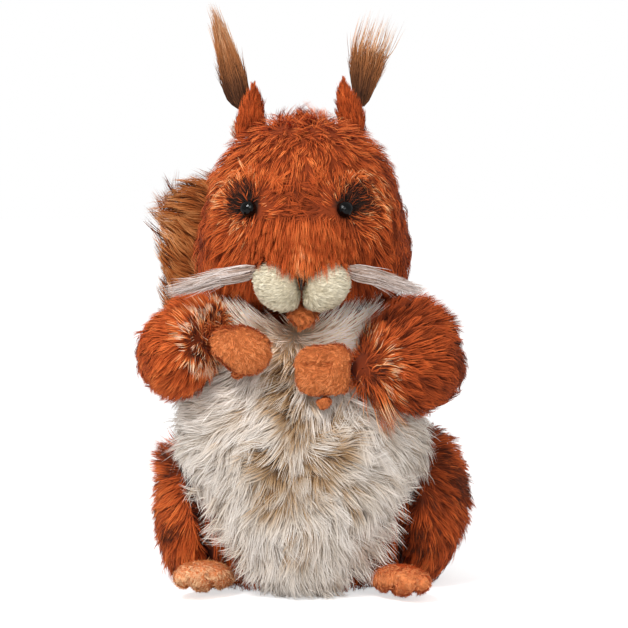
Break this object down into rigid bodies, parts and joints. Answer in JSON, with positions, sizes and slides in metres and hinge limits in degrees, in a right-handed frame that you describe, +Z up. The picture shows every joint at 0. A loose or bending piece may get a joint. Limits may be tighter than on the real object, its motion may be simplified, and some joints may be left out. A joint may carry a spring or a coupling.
{
  "type": "plush squirrel",
  "caption": "Sitting plush red squirrel with a cream belly, tufted ears, paws held at its chest and a plume tail behind it.",
  "frame": {"origin": "middle of the flat of the seat, on the floor", "axes": "+Z up, the squirrel faces -Y, +X is its left side"},
  "size_m": [0.1712, 0.1919, 0.2922],
  "materials": {
    "rust_plush": "long-pile plush, rust orange with dark flecks",
    "back_plush": "long-pile plush, darker rust",
    "cream_plush": "long-pile plush, cream with tan roots",
    "muzzle_plush": "short-pile plush, cream",
    "paw_plush": "short-pile plush, light orange",
    "tuft_pile": "long loose pile, dark brown",
    "whisker_pile": "long loose pile, greyish white",
    "tail_plush": "long-pile plush, brown orange",
    "eye_plastic": "polished black",
    "washer_plastic": "plain moulded, white",
    "nose_thread": "embroidery thread, dark brown"
  },
  "bodies": {
    "root": {"torso": "back_plush", "belly_panel": "cream_plush", "head": "rust_plush", "muzzle_left": "muzzle_plush", "muzzle_right": "muzzle_plush", "nose_stitch": "nose_thread", "chin": "paw_plush", "eye_left": "eye_plastic", "eye_right": "eye_plastic", "eye_washer_left": "washer_plastic", "eye_washer_right": "washer_plastic", "ear_left": "rust_plush", "ear_right": "rust_plush", "ear_lining_left": "cream_plush", "ear_lining_right": "cream_plush", "ear_tuft_left": "tuft_pile", "ear_tuft_right": "tuft_pile", "whisker_left": "whisker_pile", "whisker_right": "whisker_pile", "arm_left": "rust_plush", "arm_right": "rust_plush", "paw_left": "paw_plush", "paw_right": "paw_plush", "thumb_left": "paw_plush", "thumb_right": "paw_plush", "haunch_left": "rust_plush", "haunch_right": "rust_plush", "foot_left": "paw_plush", "foot_right": "paw_plush", "tail": "tail_plush"}
  },
  "joints": []
}
